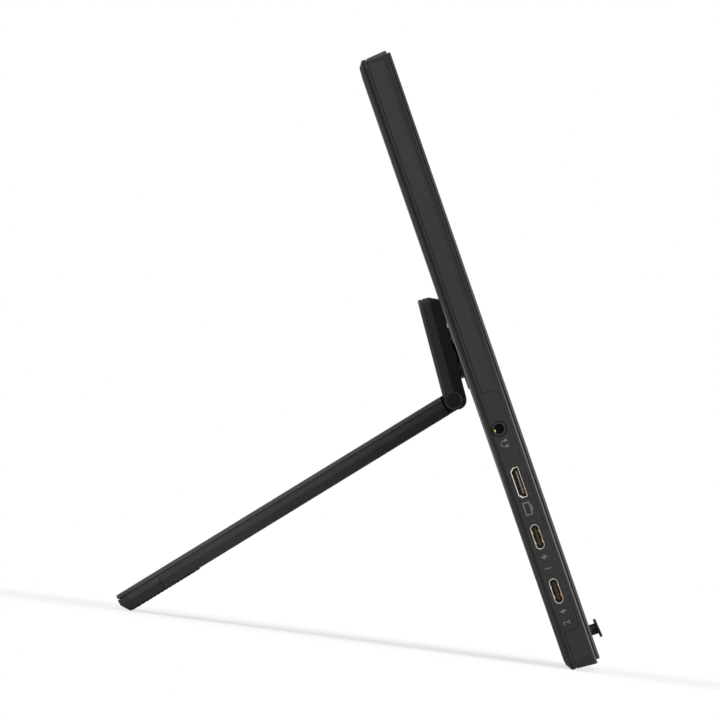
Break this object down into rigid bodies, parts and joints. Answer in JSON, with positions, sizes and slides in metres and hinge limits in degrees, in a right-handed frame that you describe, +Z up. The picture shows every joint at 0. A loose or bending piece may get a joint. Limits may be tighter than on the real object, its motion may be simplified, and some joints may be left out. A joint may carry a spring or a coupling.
{
  "type": "portable monitor",
  "caption": "Thin portable monitor leaning on a folding two-leaf stand that swivels, tilts and bends, with sockets along one side and a small menu stick on the front.",
  "frame": {"origin": "on the table, at the middle of the part's outline seen from above", "axes": "+X to the viewer's right, the screen faces -Y, +Z up from the table"},
  "size_m": [0.36, 0.1726, 0.2059],
  "materials": {
    "frame_plastic": "fine grained dark grey moulding",
    "cover_plastic": "smooth satin dark grey moulding",
    "bezel_plastic": "fine matte black sheet",
    "gasket_black": "black foam tape",
    "screen_glass": "anti-glare dark screen, switched off",
    "film_white": "white diffusing film",
    "guide_clear": "clear acrylic plate",
    "tray_metal": "plain sheet metal",
    "insulator_black": "thin insulating film",
    "board_green": "solder-masked circuit board",
    "cable_grey": "flat flexible cable",
    "shield_metal": "tinned sheet steel",
    "coil_black": "moulded coil",
    "port_metal": "warm nickel plating",
    "port_black": "black moulded insulator",
    "contact_gilt": "gilt spring contact",
    "screw_steel": "zinc plated steel",
    "hinge_steel": "dark passivated steel",
    "bush_polymer": "bearing polymer",
    "stick_black": "black moulding",
    "leaf_metal": "dark anodised fine-blasted sheet",
    "leaf_plastic": "dark satin moulding",
    "foot_rubber": "dark grey rubber"
  },
  "bodies": {
    "display": {"mid_frame": "frame_plastic", "rear_cover": "cover_plastic", "front_bezel": "bezel_plastic", "bezel_tape": "gasket_black", "lcd_panel": "screen_glass", "optical_films": "film_white", "light_guide": "guide_clear", "led_bar": "board_green", "reflector_sheet": "film_white", "backlight_tray": "tray_metal", "tray_insulator": "insulator_black", "source_board": "board_green", "panel_cable": "cable_grey", "main_board": "board_green", "shield_can": "shield_metal", "power_coils": "coil_black", "headphone_jack": "port_black", "jack_contact": "contact_gilt", "video_port_shell": "port_metal", "video_port_tongue": "port_black", "joystick_board": "board_green", "joystick_base": "stick_black", "joystick_dome": "hinge_steel", "joystick_ribbon": "cable_grey", "hub_plate": "hinge_steel", "hub_bush": "bush_polymer", "board_screws": "screw_steel", "hub_screws": "screw_steel", "tray_screws": "screw_steel", "oval_lower_shell": "port_metal", "oval_lower_tongue": "port_black", "oval_upper_shell": "port_metal", "oval_upper_tongue": "port_black"},
    "stand_hub": {"swivel_hub": "hinge_steel", "hub_washer": "hinge_steel", "hub_wave_washer": "hinge_steel", "hub_clip": "hinge_steel"},
    "short_leaf": {"short_leaf_body": "leaf_plastic", "short_leaf_skin": "leaf_metal", "tilt_pin": "hinge_steel", "tilt_washers": "hinge_steel", "bend_pin": "hinge_steel", "hinge_end_caps": "leaf_plastic"},
    "long_leaf": {"long_leaf_body": "leaf_plastic", "long_leaf_skin": "leaf_metal", "torque_sleeves": "hinge_steel", "foot_end": "foot_rubber", "foot_pad": "foot_rubber"},
    "stick_ring": {"stick_ring": "stick_black"},
    "stick_rocker": {"stick_rocker": "stick_black"},
    "stick": {"stick_stem": "stick_black", "stick_cap": "stick_black"}
  },
  "joints": [
    {"name": "stand_swivel", "type": "hinge", "parent": "display", "child": "stand_hub", "pos_m": [0, -0.02259, 0.10349], "axis": [0, 0.8949, -0.4463], "range_deg": [-90, 90]},
    {"name": "stand_tilt", "type": "hinge", "parent": "stand_hub", "child": "short_leaf", "pos_m": [0, -0.01849, 0.10145], "axis": [1, 0, 0], "range_deg": [-4.26, 0]},
    {"name": "stand_bend", "type": "hinge", "parent": "short_leaf", "child": "long_leaf", "pos_m": [0, -0.0226, 0.08822], "axis": [1, 0, 0], "range_deg": [-73.3, 0]},
    {"name": "stick_up_down", "type": "hinge", "parent": "display", "child": "stick_ring", "pos_m": [0.156, -0.07885, 0.01176], "axis": [1, 0, 0], "range_deg": [-6, 6], "stiffness_Nm_per_rad": 0.03},
    {"name": "stick_left_right", "type": "hinge", "parent": "stick_ring", "child": "stick_rocker", "pos_m": [0.156, -0.07885, 0.01176], "axis": [0, 0.4463, 0.8949], "range_deg": [-6, 6], "stiffness_Nm_per_rad": 0.03},
    {"name": "stick_press", "type": "slide", "parent": "stick_rocker", "child": "stick", "axis": [0, 0.8949, -0.4463], "range_m": [0, 0.0004], "stiffness_N_per_m": 2000}
  ]
}
